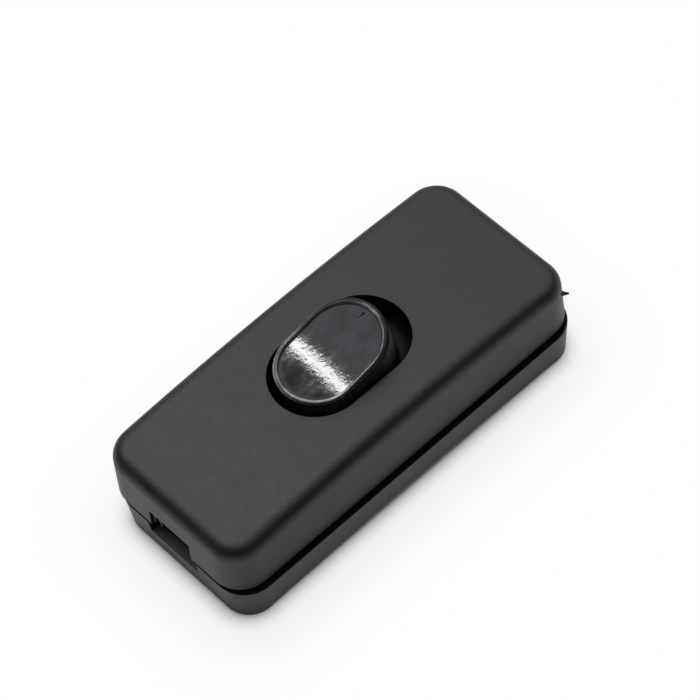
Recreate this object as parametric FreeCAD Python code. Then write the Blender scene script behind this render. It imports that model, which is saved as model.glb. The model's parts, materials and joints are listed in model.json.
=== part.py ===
import FreeCAD, Part
import math
import os

# Inline cord switch, millimetres. Length along X, width along Y, up is +Z.
# The origin is the middle of the upper shell in plan, at the height of the feet.
# The rocker is built level and then turned to the position it rests in.

V = FreeCAD.Vector
X_AXIS = V(1, 0, 0)
Y_AXIS = V(0, 1, 0)
Z_AXIS = V(0, 0, 1)

# Upper shell
housing_length = 62.0
housing_width = 26.8
corner_radius = 4.6
shell_wall = 1.8
seam_height = 5.9
seam_gap = 0.6
upper_end_height = 8.1
top_crown = 1.35
top_edge_radius = 2.0
upper_taper = 0.25
roof_thickness = 1.6

# Lower shell, a little shorter and set towards the near side
lower_end_step = 0.1
lower_shift_x = -0.1
lower_shift_y = -0.7
lower_taper = 0.5
floor_thickness = 1.5
underside_arch = 2.2
foot_length = 2.0
lip_thickness = 0.7
lip_height = 1.4
lip_clearance = 0.2

# Cord inlets
inlet_width = 7.8
inlet_above_seam = 3.1
recess_margin = 0.8
recess_depth = 2.3

# Opening and rocker
rocker_x = 0.4
opening_length = 21.3
opening_width = 13.6
collar_wall = 0.9
pivot_below_top = 5.35
rocker_swing = 10.0
rocker_end_gap = 2.23
rocker_side_gap = 0.72
rocker_rim_height = 7.6
rocker_rim_radius = 51.0
rocker_wall = 1.3
rocker_edge_radius = 0.45
dish_depth = 0.45
dish_end_margin = 0.75
dish_side_margin = 0.6
dish_edge_radius = 0.12
dish_floor_radius = 0.25
dish_skin = 1.55
apron_reach = 0.45
apron_thickness = 0.8
stop_clearance = 0.05
web_thickness = 1.6
tick_length = 1.1
tick_width = 0.25
tick_depth = 0.2
tick_from_end = 2.0
tick_offset = 0.6

# Bearings of the rocker
pin_radius = 1.5
pin_clearance = 0.05
pin_end_clearance = 0.15
thrust_step = 0.9
thrust_clearance = 0.1
cheek_thickness = 1.5
cheek_length = 8.0
cheek_below_pin = 0.9

# Plunger and spring
stem_wall = 1.1
stem_below_pivot = 1.4
bore_roof = 1.2
plunger_radius = 1.25
plunger_clearance = 0.05
plunger_shoulder = 0.4
plunger_tail_length = 1.3
ball_radius = 0.9
ball_clearance = 0.01
spring_wire = 0.36
spring_side_clearance = 0.15
spring_tail_clearance = 0.19
spring_coils = 5.5

# See-saw contact and its tips
seesaw_ratio = 0.6
seesaw_thickness = 0.8
seesaw_corner_radius = 0.8
seat_thickness = 0.6
seesaw_width = 4.0
seesaw_rest_arm = 4.4
lug_width = 1.2
lug_reach = 0.9
tip_arm = 6.0
tip_margin = 0.3
tip_radius = 1.1
tip_shank_radius = 0.55
rivet_head_radius = 0.88
rivet_head_height = 0.2
moving_tip_height = 0.35
fixed_tip_height = 0.25
tip_gap_closed = 0.02

# Strips and the bed that they are staked to
bed_height = 0.2
bed_margin = 0.3
strip_thickness = 0.8
strip_width = 3.6
strip_overhang = 0.3
strip_setback = 0.5
crossbar_width = 3.2
link_middle_width = 2.0
link_pad_margin = 0.6
ear_thickness = 0.6
ear_clearance = 0.15
ear_length = 3.2
ear_above_edge = 0.5
notch_clearance = 0.2
notch_angle_margin = 2.0
edge_clearance = 0.01
rest_post_width = 2.0
rest_post_setback = 0.2
peg_radius = 0.7
peg_clearance = 0.05
peg_head_height = 0.35
peg_head_margin = 0.3

# Terminals
terminal_from_opening = 4.35
terminal_y = 5.5
cage_length = 5.0
cage_width = 5.6
cage_wall = 0.8
cage_edge_radius = 0.5
cage_window_height = 3.4
cage_top = 1.6
cage_clearance = 0.15
terminal_screw_radius = 1.4
terminal_head_radius = 2.1
terminal_head_height = 1.6
terminal_head_gap = 0.8
terminal_tip_above_strip = 1.2
barrier_thickness = 1.6

# Cord grips
grip_from_end = 5.8
grip_post_gap = 0.6
grip_post_radius = 2.0
grip_above_recess = 4.6
grip_width = 4.2
grip_thickness = 2.0
grip_tooth = 0.8
grip_tooth_margin = 0.4
grip_screw_radius = 0.95
grip_screw_clearance = 0.15
grip_head_radius = 1.8
grip_head_height = 1.2
grip_screw_length = 6.5
saddle_tooth = 0.5

# Housing screws, up through the lower shell between the terminals
housing_screw_radius = 1.1
housing_screw_clearance = 0.2
housing_head_radius = 2.05
housing_head_height = 1.4
housing_head_clearance = 0.15
housing_head_recess = 0.2
housing_screw_length = 8.0
lower_boss_radius = 2.0
upper_boss_radius = 2.0
head_boss_wall = 0.6
roof_rib_thickness = 1.2
roof_rib_clearance = 0.5
slot_width = 0.5
slot_depth = 0.6

# Moulding tag on the far corner of the upper shell
tag_above_seam = 4.7
tag_length = 1.0
tag_root_radius = 0.45
tag_tip_radius = 0.12

# How far a cutting shape runs past what it cuts, and how deep a fused one is rooted
overcut = 1.0
root = 0.1
hair = 0.01

# Heights and planes that follow from the values above
half_length = housing_length / 2
half_width = housing_width / 2
lower_length = housing_length - 2 * lower_end_step
upper_rim = seam_height + seam_gap
top_end = upper_rim + upper_end_height
top_middle = top_end + top_crown
crown_radius = (half_length ** 2 + top_crown ** 2) / (2 * top_crown)
crown_centre = top_middle - crown_radius
arch_half = lower_length / 2 - foot_length
arch_radius = (arch_half ** 2 + underside_arch ** 2) / (2 * underside_arch)
arch_centre = underside_arch - arch_radius
lip_top = seam_height + lip_height
lip_outer_length = housing_length - 2 * (shell_wall + lip_clearance)
lip_outer_width = housing_width - 2 * (shell_wall + lip_clearance)
lip_outer_radius = corner_radius - shell_wall - lip_clearance
lip_inner_end = lip_outer_length / 2 - lip_thickness
inlet_top = upper_rim + inlet_above_seam
recess_width = inlet_width + 2 * recess_margin
recess_floor = seam_height - recess_depth
pivot_height = top_middle - pivot_below_top
rocker_length = opening_length - 2 * rocker_end_gap
rocker_width = opening_width - 2 * rocker_side_gap
rocker_top = pivot_height + rocker_rim_height
apron_length = opening_length + 2 * apron_reach
apron_bottom = pivot_height - apron_thickness / 2
rocker_room_top = rocker_top - dish_depth - dish_skin
thrust_radius = pin_radius + thrust_step
cheek_inner = opening_width / 2
cheek_outer = cheek_inner + cheek_thickness
cheek_bottom = pivot_height - pin_radius - cheek_below_pin
bore_radius = plunger_radius + plunger_clearance
bore_top = rocker_room_top - bore_roof
stem_radius = bore_radius + stem_wall
shoulder_height = pivot_height + plunger_shoulder
spring_outer_radius = bore_radius - spring_side_clearance
plunger_tail_radius = spring_outer_radius - spring_wire - spring_tail_clearance
strip_floor = underside_arch + floor_thickness + bed_height
strip_top = strip_floor + strip_thickness
seesaw_swing = rocker_swing * seesaw_ratio
swing_angle = math.radians(rocker_swing)
tilt_angle = math.radians(seesaw_swing)
closed_tip_drop = (tip_arm + tip_radius) * math.sin(tilt_angle) + moving_tip_height * math.cos(tilt_angle)
edge_height = strip_top + fixed_tip_height + tip_gap_closed + closed_tip_drop
seat_floor = edge_height + seat_thickness
seesaw_top = edge_height + seesaw_thickness
ball_height = seat_floor + ball_clearance + ball_radius
tip_x = rocker_x - tip_arm
terminal_x = opening_length / 2 + terminal_from_opening
cage_bottom = strip_floor - cage_wall
cage_height = cage_wall + cage_window_height + cage_top
terminal_head_bottom = cage_bottom + cage_height + terminal_head_gap
strip_end = terminal_x + cage_length / 2 + strip_overhang
strip_bend = terminal_x - cage_length / 2 - strip_setback
peg_x = strip_bend - crossbar_width / 2
grip_x = half_length - grip_from_end
grip_seat = recess_floor + grip_above_recess
grip_post_y = inlet_width / 2 + grip_post_gap + grip_post_radius
head_pocket_radius = housing_head_radius + housing_head_clearance
rib_bottom = terminal_head_bottom + terminal_head_height + roof_rib_clearance


def roof_at(x):
    """Height of the crowned top above a point along the housing."""
    return crown_centre + math.sqrt(crown_radius ** 2 - x ** 2)


def underside_at(x):
    """Height of the arched underside at a point along the housing."""
    return arch_centre + math.sqrt(arch_radius ** 2 - (x - lower_shift_x) ** 2)


def box(x0, x1, y0, y1, z0, z1):
    return Part.makeBox(x1 - x0, y1 - y0, z1 - z0, V(x0, y0, z0))


def bar(x0, x1, width, z0, z1):
    """Box across the middle line, from one place along the housing to another."""
    low, high = sorted((x0, x1))
    return box(low, high, -width / 2, width / 2, z0, z1)


def block(x, y, length, width, z0, z1):
    """Box centred on a place in plan."""
    return box(x - length / 2, x + length / 2, y - width / 2, y + width / 2, z0, z1)


def post(x, y, radius, z0, z1):
    return Part.makeCylinder(radius, z1 - z0, V(x, y, z0), Z_AXIS)


def cross_pin(x, z, radius, y0, y1):
    return Part.makeCylinder(radius, y1 - y0, V(x, y0, z), Y_AXIS)


def side_pin(side, radius, y0, y1):
    """Pin of the rocker, on its axis, given for the +Y side."""
    low, high = sorted((side * y0, side * y1))
    return cross_pin(rocker_x, pivot_height, radius, low, high)


def rounded_outline(length, width, radius, z, cx=0.0, cy=0.0):
    """Closed outline of a rectangle with rounded corners."""
    a = length / 2 - radius
    b = width / 2 - radius
    d = radius * math.sqrt(0.5)
    arcs = []
    for sx, sy in ((1, 1), (-1, 1), (-1, -1), (1, -1)):
        start = V(sx * (a + radius), sy * b, 0)
        middle = V(sx * (a + d), sy * (b + d), 0)
        end = V(sx * a, sy * (b + radius), 0)
        if sx * sy < 0:
            start, end = end, start
        arcs.append(Part.Arc(start, middle, end).toShape())
    joined = []
    for i, arc in enumerate(arcs):
        following = arcs[(i + 1) % 4]
        arc_end = arc.valueAt(arc.LastParameter)
        joined.append(arc)
        joined.append(Part.makeLine(arc_end, following.valueAt(following.FirstParameter)))
    wire = Part.Wire(joined)
    wire.translate(V(cx, cy, z))
    return wire


def rounded_block(length, width, radius, z0, z1):
    face = Part.Face(rounded_outline(length, width, radius, z0))
    return face.extrude(V(0, 0, z1 - z0))


def tapered_block(length, width, radius, z0, z1, inset_low, inset_high, cx=0.0, cy=0.0):
    """Rounded block that is drawn in by its own inset at each end."""
    outlines = []
    for z, inset in ((z0, inset_low), (z1, inset_high)):
        outlines.append(rounded_outline(length - 2 * inset, width - 2 * inset, radius - inset, z, cx, cy))
    return Part.makeLoft(outlines, True, True)


def obround(length, width, z0, z1, cx=0.0, cy=0.0):
    r = width / 2
    a = length / 2 - r
    edges = [
        Part.Arc(V(a, -r, 0), V(a + r, 0, 0), V(a, r, 0)).toShape(),
        Part.makeLine(V(a, r, 0), V(-a, r, 0)),
        Part.Arc(V(-a, r, 0), V(-a - r, 0, 0), V(-a, -r, 0)).toShape(),
        Part.makeLine(V(-a, -r, 0), V(a, -r, 0)),
    ]
    wire = Part.Wire(edges)
    wire.translate(V(cx, cy, z0))
    return Part.Face(wire).extrude(V(0, 0, z1 - z0))


def drum(x, z, radius):
    """Long cylinder along Y, wider than the housing, for cutting crowned and arched faces."""
    return cross_pin(x, z, radius, -housing_width, housing_width)


def profile_plate(points, y0, y1):
    """Plate with an outline drawn in the XZ plane."""
    corners = [V(x, y0, z) for x, z in points]
    wire = Part.makePolygon(corners + corners[:1])
    return Part.Face(wire).extrude(V(0, y1 - y0, 0))


def tooth(x, base, height, half_span):
    """Ridge across the cord. It points up for a height above zero and down for one below."""
    reach = abs(height)
    inside = base - math.copysign(root, height)
    corners = [(x - reach, inside), (x + reach, inside), (x, base + height)]
    return profile_plate(corners, -half_span, half_span)


def turned(shape, x, z, degrees):
    """Copy turned about an axis along Y."""
    copy = shape.copy()
    copy.rotate(V(x, 0, z), Y_AXIS, degrees)
    return copy


def spun(shape, degrees):
    """Copy turned about the Z axis."""
    copy = shape.copy()
    copy.rotate(V(0, 0, 0), Z_AXIS, degrees)
    return copy


def fused(shapes):
    result = shapes[0]
    for shape in shapes[1:]:
        result = result.fuse(shape)
    return result.removeSplitter()


def single(shape):
    """The one solid of a result, so that every file holds a single solid."""
    solids = shape.Solids
    if len(solids) != 1:
        raise ValueError("expected one solid, found %d" % len(solids))
    return solids[0]


def edges_above(shape, z):
    return [e for e in shape.Edges if e.BoundBox.ZMin > z]


def edges_below(shape, z):
    return [e for e in shape.Edges if e.BoundBox.ZMax < z]


def edges_along(shape, direction):
    """Straight edges that run in one direction."""
    found = []
    for edge in shape.Edges:
        span = edge.lastVertex().Point - edge.firstVertex().Point
        if span.Length > hair and abs(span.dot(direction)) > 0.999 * span.Length:
            found.append(edge)
    return found


def screw(x, y, head_bottom, head_radius, head_height, radius, length, upwards=False, cross=False):
    """Pan head screw with a slot or a cross recess. Its shank runs away from the head."""
    head = Part.makeCylinder(head_radius, head_height)
    head = head.makeFillet(head_height * 0.35, edges_above(head, head_height / 2))
    shank = Part.makeCylinder(radius, length, V(0, 0, -length), Z_AXIS)
    shank = shank.makeChamfer(radius * 0.3, edges_below(shank, -length / 2))
    reach = head_radius * (0.55 if cross else 1.1)
    slot = block(0, 0, 2 * reach, slot_width, head_height - slot_depth, head_height + overcut)
    if cross:
        slot = slot.fuse(spun(slot, 90))
    body = head.fuse(shank).cut(slot)
    if upwards:
        body.rotate(V(0, 0, 0), X_AXIS, 180)
    body.translate(V(x, y, head_bottom))
    return single(body)


# Upper shell
def upper_outer():
    """Drafted block under a crowned top, with a rounded edge all the way round."""
    block_top = top_middle + overcut
    inset = upper_taper * (block_top - upper_rim) / upper_end_height
    body = tapered_block(housing_length, housing_width, corner_radius, upper_rim, block_top, 0.0, inset)
    body = body.common(drum(0, crown_centre, crown_radius))
    return body.makeFillet(top_edge_radius, edges_above(body, (upper_rim + top_end) / 2))


def upper_inner():
    inner_length = housing_length - 2 * shell_wall
    inner_width = housing_width - 2 * shell_wall
    inner_radius = corner_radius - shell_wall
    room = rounded_block(inner_length, inner_width, inner_radius, upper_rim - overcut, top_middle)
    return room.common(drum(0, crown_centre, crown_radius - roof_thickness))


def within_shell():
    """Room up to the middle of the walls and roof, so that what is inside is rooted in them."""
    inset = shell_wall / 2
    room = tapered_block(housing_length, housing_width, corner_radius, 0, top_middle, inset, inset)
    return room.common(drum(0, crown_centre, crown_radius - roof_thickness / 2))


def apron_stop_height():
    """Height that the raised end of the apron reaches at full swing."""
    reach = apron_length / 2 * math.sin(swing_angle)
    return pivot_height + apron_thickness / 2 * math.cos(swing_angle) + reach


def moulding_tag():
    """Short cone left by the moulding, straight out of the rounded corner."""
    outward = (X_AXIS - Y_AXIS).normalize()
    corner = V(half_length - corner_radius, corner_radius - half_width, upper_rim + tag_above_seam)
    root = corner + outward * (corner_radius - upper_taper - shell_wall / 2)
    return Part.makeCone(tag_root_radius, tag_tip_radius, tag_length + shell_wall / 2, root, outward)


def make_upper_shell():
    shell = upper_outer().cut(upper_inner())
    collar_length = opening_length + 2 * collar_wall
    collar_width = opening_width + 2 * collar_wall
    collar_bottom = apron_stop_height() + stop_clearance
    cheek_y = (cheek_inner + cheek_outer) / 2
    added = [obround(collar_length, collar_width, collar_bottom, top_middle, rocker_x)]
    for side in (1, -1):
        x = side * terminal_x
        added.append(block(rocker_x, side * cheek_y, cheek_length, cheek_thickness, cheek_bottom, top_middle))
        added.append(post(x, 0, upper_boss_radius, upper_rim, top_middle))
        added.append(block(x, 0, cage_length, barrier_thickness, upper_rim, top_middle))
        added.append(block(x, 0, roof_rib_thickness, housing_width, rib_bottom, top_middle))
    shell = shell.fuse(fused(added).common(within_shell()))
    cuts = [
        obround(opening_length, opening_width, apron_stop_height(), top_middle + overcut, rocker_x),
        side_pin(1, pin_radius + pin_clearance, cheek_inner - root, cheek_outer + hair),
        side_pin(-1, pin_radius + pin_clearance, cheek_inner - root, cheek_outer + hair),
    ]
    inlet_start = half_length - shell_wall - hair
    inlet_end = half_length + overcut
    screw_top = head_seat_height() + housing_screw_length
    for side in (1, -1):
        cuts.append(post(side * terminal_x, 0, housing_screw_radius, upper_rim - overcut, screw_top))
        cuts.append(bar(side * inlet_start, side * inlet_end, inlet_width, upper_rim - overcut, inlet_top))
    shell = shell.cut(fused(cuts)).fuse(moulding_tag())
    return single(shell.removeSplitter())


# Lower shell
def lower_outer():
    body = tapered_block(lower_length, housing_width, corner_radius, 0, seam_height, lower_taper, 0.0,
                         lower_shift_x, lower_shift_y)
    return body.cut(drum(lower_shift_x, arch_centre, arch_radius))


def lower_room():
    """Hollow of the lower shell, over a floor that follows the arched underside."""
    room = rounded_block(lip_outer_length - 2 * lip_thickness, lip_outer_width - 2 * lip_thickness,
                         lip_outer_radius - lip_thickness, floor_thickness, lip_top + overcut)
    return room.cut(drum(lower_shift_x, arch_centre, arch_radius + floor_thickness))


def head_seat_height():
    """Height of the seat under a housing screw's head, which is sunk a little into the underside."""
    return underside_at(terminal_x) + housing_head_height + housing_head_recess


def peg_places():
    """Places where the strips are staked to the bed."""
    return [(side * peg_x, y) for side in (1, -1) for y in (0.0, terminal_y)]


def bed_and_pegs():
    bed_width = 2 * terminal_y + strip_width + 2 * bed_margin
    bed_end = terminal_x - cage_length / 2 - bed_margin
    parts = [bar(-bed_end, bed_end, bed_width, floor_thickness, strip_floor)]
    for x, y in peg_places():
        parts.append(post(x, y, peg_radius, strip_floor - root, strip_top))
        parts.append(post(x, y, peg_radius + peg_head_margin, strip_top, strip_top + peg_head_height))
    return parts


def terminal_bay(side):
    """Barrier and screw boss between the two terminals at one end, and the seats of the cages."""
    bay_length = cage_length + 2 * bed_margin
    bay_width = 2 * terminal_y + cage_width
    x = side * terminal_x
    return [
        block(x, 0, bay_length, barrier_thickness, floor_thickness, upper_rim),
        block(x, 0, bay_length, bay_width, floor_thickness, cage_bottom),
        post(x, 0, lower_boss_radius, floor_thickness, upper_rim),
        post(x, 0, head_pocket_radius + head_boss_wall, floor_thickness, head_seat_height() + head_boss_wall),
    ]


def grip_bay(side):
    """Saddle for the cord at one end, with its teeth and the two posts of the grip."""
    x = side * grip_x
    saddle_start = side * (grip_x - grip_width / 2)
    saddle_end = side * lip_outer_length / 2
    parts = [bar(saddle_start, saddle_end, recess_width, floor_thickness, recess_floor)]
    for step in (-1, 1):
        parts.append(tooth(x + step * grip_width / 4, recess_floor, saddle_tooth, inlet_width / 2))
        parts.append(post(x, step * grip_post_y, grip_post_radius, floor_thickness, grip_seat))
    return parts


def cage_pocket(x, y):
    """Room for a terminal cage in the floor and between its neighbours."""
    length = cage_length + 2 * cage_clearance
    width = cage_width + 2 * cage_clearance
    return block(x, y, length, width, cage_bottom, cage_bottom + cage_height)


def lower_cuts(side):
    """Screw hole, cord recess, grip screw holes and cage pockets at one end."""
    x = side * terminal_x
    cuts = [
        post(x, 0, housing_screw_radius + housing_screw_clearance, -overcut, upper_rim + overcut),
        post(x, 0, head_pocket_radius, -overcut, head_seat_height()),
        bar(side * (lip_inner_end - hair), side * (half_length + overcut), recess_width, recess_floor,
            lip_top + overcut),
    ]
    for row in (-1, 1):
        cuts.append(cage_pocket(x, row * terminal_y))
        cuts.append(post(side * grip_x, row * grip_post_y, grip_screw_radius,
                         grip_seat + grip_thickness - grip_screw_length, grip_seat + overcut))
    return cuts


def make_lower_shell():
    lip = rounded_block(lip_outer_length, lip_outer_width, lip_outer_radius, seam_height - overcut, lip_top)
    added = bed_and_pegs() + terminal_bay(-1) + terminal_bay(1) + grip_bay(-1) + grip_bay(1)
    shell = lower_outer().fuse(lip).cut(lower_room())
    shell = shell.fuse(fused(added).cut(drum(lower_shift_x, arch_centre, arch_radius)))
    shell = shell.cut(fused(lower_cuts(-1) + lower_cuts(1)))
    return single(shell.removeSplitter())


# Rocker
def rim_drum(height):
    """Cylinder that hollows the rocker along its length, lowest at the given height."""
    return drum(rocker_x, height + rocker_rim_radius, rocker_rim_radius)


def hollow_rise(x):
    """How much higher the hollowed top is at a place than in its middle."""
    return rocker_rim_radius - math.sqrt(rocker_rim_radius ** 2 - (x - rocker_x) ** 2)


def rocker_cap():
    """Obround cap with a hollowed rim and a dish inside it."""
    cap = obround(rocker_length, rocker_width, apron_bottom, rocker_top + dish_depth + overcut, rocker_x)
    cap = cap.cut(rim_drum(rocker_top))
    cap = cap.makeFillet(rocker_edge_radius, edges_above(cap, rocker_top - dish_depth))
    dish = obround(rocker_length - 2 * dish_end_margin, rocker_width - 2 * dish_side_margin,
                   rocker_top - dish_depth - overcut, rocker_top + 2 * overcut, rocker_x)
    dish = dish.common(rim_drum(rocker_top - dish_depth))
    dish = dish.makeFillet(dish_floor_radius, edges_below(dish, rocker_top + overcut))
    cap = cap.cut(dish)
    dish_half_width = rocker_width / 2 - dish_side_margin
    dish_edges = [e for e in edges_above(cap, rocker_top - dish_edge_radius / 2)
                  if e.BoundBox.YMax < dish_half_width + dish_edge_radius / 2
                  and e.BoundBox.YMin > -dish_half_width - dish_edge_radius / 2]
    return cap.makeFillet(dish_edge_radius, dish_edges)


def rocker_pins():
    root_y = rocker_width / 2 - rocker_wall
    pins = []
    for side in (1, -1):
        pins.append(side_pin(side, thrust_radius, root_y, cheek_inner - thrust_clearance))
        pins.append(side_pin(side, pin_radius, root_y, cheek_outer - pin_end_clearance))
    return pins


def make_rocker():
    room = obround(rocker_length - 2 * rocker_wall, rocker_width - 2 * rocker_wall, apron_bottom - overcut,
                   rocker_room_top, rocker_x)
    apron = obround(apron_length, rocker_width, apron_bottom, apron_bottom + apron_thickness, rocker_x)
    inside_top = rocker_room_top + root
    web = block(rocker_x, 0, web_thickness, rocker_width - rocker_wall, apron_bottom, inside_top)
    stem = post(rocker_x, 0, stem_radius, pivot_height - stem_below_pivot, inside_top)
    body = fused([rocker_cap().cut(room), apron.cut(room), web, stem] + rocker_pins())
    bore = post(rocker_x, 0, bore_radius, pivot_height - stem_below_pivot - overcut, bore_top)
    tick_x = rocker_x + rocker_length / 2 - tick_from_end
    tick_floor = rocker_top - dish_depth + hollow_rise(tick_x) - tick_depth
    tick = block(tick_x, tick_offset, tick_length, tick_width, tick_floor, rocker_top + overcut)
    body = body.cut(bore).cut(tick)
    return turned(single(body.removeSplitter()), rocker_x, pivot_height, -rocker_swing)


def make_plunger():
    """Pin with a ball nose. The ball is deepest in the seat when the rocker is level."""
    nose = Part.makeSphere(ball_radius, V(rocker_x, 0, ball_height))
    neck = post(rocker_x, 0, ball_radius, ball_height, ball_height + ball_radius)
    guide = post(rocker_x, 0, plunger_radius, ball_height + ball_radius, shoulder_height)
    tail = post(rocker_x, 0, plunger_tail_radius, shoulder_height, shoulder_height + plunger_tail_length)
    return turned(single(fused([nose, neck, guide, tail])), rocker_x, pivot_height, -rocker_swing)


def make_spring():
    """Helical spring between the plunger shoulder and the end of the bore."""
    low = shoulder_height + spring_wire / 2
    high = bore_top - spring_wire / 2
    radius = spring_outer_radius - spring_wire / 2
    path = Part.makeHelix((high - low) / spring_coils, high - low, radius)
    section = Part.Wire(Part.makeCircle(spring_wire / 2, V(radius, 0, 0), Y_AXIS))
    coil = path.makePipeShell([section], True, True)
    coil.translate(V(rocker_x, 0, low))
    return turned(single(coil), rocker_x, pivot_height, -rocker_swing)


# See-saw contact, tips and strips
def seat_radius():
    """Radius of the coined seat that the ball rolls in without lifting."""
    arm = pivot_height - ball_height
    across = arm * math.sin(swing_angle)
    above = pivot_height - edge_height - arm * math.cos(swing_angle)
    ball_x = across * math.cos(tilt_angle) - above * math.sin(tilt_angle)
    ball_z = across * math.sin(tilt_angle) + above * math.cos(tilt_angle)
    rise = ball_z - seat_thickness
    ball = ball_radius + ball_clearance / 2
    return (ball ** 2 - ball_x ** 2 - rise ** 2) / (2 * (ball - rise))


def make_seesaw():
    tip_end = tip_x - tip_radius - tip_margin
    blade = bar(tip_end, rocker_x + seesaw_rest_arm, seesaw_width, edge_height, seesaw_top)
    blade = blade.makeFillet(seesaw_corner_radius, edges_along(blade, Z_AXIS))
    lug_end = seesaw_width / 2 + lug_reach
    lugs = block(rocker_x, 0, lug_width, 2 * lug_end, edge_height, seesaw_top)
    radius = seat_radius()
    seat = cross_pin(rocker_x, seat_floor + radius, radius, -lug_end - overcut, lug_end + overcut)
    hole = post(tip_x, 0, tip_shank_radius, edge_height - overcut, seesaw_top + overcut)
    blade = blade.fuse(lugs).cut(seat).cut(hole)
    return turned(single(blade.removeSplitter()), rocker_x, edge_height, seesaw_swing)


def make_moving_tip():
    face_bottom = edge_height - moving_tip_height
    face = post(tip_x, 0, tip_radius, face_bottom, edge_height)
    face = face.makeFillet(moving_tip_height * 0.4, edges_below(face, edge_height - moving_tip_height / 2))
    shank = post(tip_x, 0, tip_shank_radius, edge_height, seesaw_top)
    head = post(tip_x, 0, rivet_head_radius, seesaw_top, seesaw_top + rivet_head_height)
    return turned(single(fused([face, shank, head])), rocker_x, edge_height, seesaw_swing)


def make_fixed_tip():
    face = post(tip_x, 0, tip_radius, strip_top, strip_top + fixed_tip_height)
    shank = post(tip_x, 0, tip_shank_radius, strip_floor, strip_top)
    return single(fused([face, shank]))


def strip_box(x0, x1, y0, y1):
    low, high = sorted((x0, x1))
    return box(low, high, y0, y1, strip_floor, strip_top)


def live_run(side):
    """End of a live strip in its cage, and the bar that brings it to the middle."""
    y_low = -terminal_y - strip_width / 2
    inner = strip_bend - crossbar_width
    return [
        strip_box(side * strip_end, side * (strip_bend - root), y_low, y_low + strip_width),
        strip_box(side * strip_bend, side * inner, y_low, strip_width / 2),
    ]


def peg_holes():
    radius = peg_radius + peg_clearance
    return fused([post(x, y, radius, strip_floor - overcut, strip_top) for x, y in peg_places()])


def make_fixed_strip():
    middle = strip_box(-strip_bend, tip_x + tip_radius + tip_margin, -strip_width / 2, strip_width / 2)
    hole = post(tip_x, 0, tip_shank_radius, strip_floor - overcut, strip_top + overcut)
    strip = fused(live_run(-1) + [middle])
    return single(strip.cut(hole).cut(peg_holes()))


def ear_outline():
    """Side view of an ear: a knife edge for the lug between two horns."""
    slope = math.tan(math.radians(seesaw_swing + notch_angle_margin))
    notch = lug_width / 2 + notch_clearance
    crest = edge_height - edge_clearance
    ear_top = edge_height + ear_above_edge
    half = [(ear_length / 2, strip_floor), (ear_length / 2, ear_top), (notch, ear_top),
            (notch, crest - notch * slope)]
    left = [(rocker_x - x, z) for x, z in half]
    right = [(rocker_x + x, z) for x, z in reversed(half)]
    return left + [(rocker_x, crest)] + right


def make_fulcrum_strip():
    ear_in = seesaw_width / 2 + ear_clearance
    ear_out = ear_in + ear_thickness
    rest_x = rocker_x + seesaw_rest_arm - rest_post_setback
    rest_top = edge_height - (rest_x - rocker_x) * math.tan(tilt_angle) - stop_clearance
    rest = bar(rest_x - strip_thickness, rest_x, rest_post_width, strip_floor, rest_top)
    middle = strip_box(rocker_x - ear_length / 2, strip_bend, -ear_out, ear_out)
    ears = [profile_plate(ear_outline(), ear_in, ear_out), profile_plate(ear_outline(), -ear_out, -ear_in)]
    strip = fused(live_run(1) + [middle, rest] + ears)
    return single(strip.cut(peg_holes()))


def make_neutral_link():
    """Strip that runs straight through, narrow in the middle, with a pad round each peg."""
    wide_low = terminal_y - strip_width / 2
    parts = [strip_box(-strip_bend - root, strip_bend + root, terminal_y - link_middle_width / 2,
                       terminal_y + link_middle_width / 2)]
    for side in (1, -1):
        parts.append(strip_box(side * strip_bend, side * strip_end, wide_low, wide_low + strip_width))
        parts.append(post(side * peg_x, terminal_y, peg_radius + link_pad_margin, strip_floor, strip_top))
    return single(fused(parts).cut(peg_holes()))


# Terminals
def make_cage(x, y):
    cage_end = cage_bottom + cage_height
    window_width = cage_width - 2 * cage_wall
    window_top = strip_floor + cage_window_height
    body = block(x, y, cage_length, cage_width, cage_bottom, cage_end)
    body = body.makeFillet(cage_edge_radius, edges_along(body, X_AXIS))
    window = block(x, y, cage_length + overcut, window_width, strip_floor, window_top)
    hole = post(x, y, terminal_screw_radius, strip_floor + root, cage_end + overcut)
    return single(body.cut(window).cut(hole))


def make_terminal_screw(x, y):
    length = terminal_head_bottom - strip_top - terminal_tip_above_strip
    return screw(x, y, terminal_head_bottom, terminal_head_radius, terminal_head_height,
                 terminal_screw_radius, length)


# Cord grips
def make_grip(x):
    grip_top = grip_seat + grip_thickness
    plate = spun(obround(2 * grip_post_y + grip_width, grip_width, grip_seat, grip_top), 90)
    plate.translate(V(x, 0, 0))
    half_span = inlet_width / 2 - grip_tooth_margin
    teeth = [tooth(x + step * grip_width / 4, grip_seat, -grip_tooth, half_span) for step in (-1, 1)]
    plate = fused([plate] + teeth)
    hole_radius = grip_screw_radius + grip_screw_clearance
    for side in (1, -1):
        plate = plate.cut(post(x, side * grip_post_y, hole_radius, grip_seat - overcut, grip_top + overcut))
    return single(plate)


def make_grip_screw(x, y):
    return screw(x, y, grip_seat + grip_thickness, grip_head_radius, grip_head_height, grip_screw_radius,
                 grip_screw_length, cross=True)


def make_housing_screw(x):
    return screw(x, 0, head_seat_height(), housing_head_radius, housing_head_height, housing_screw_radius,
                 housing_screw_length, upwards=True, cross=True)


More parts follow.
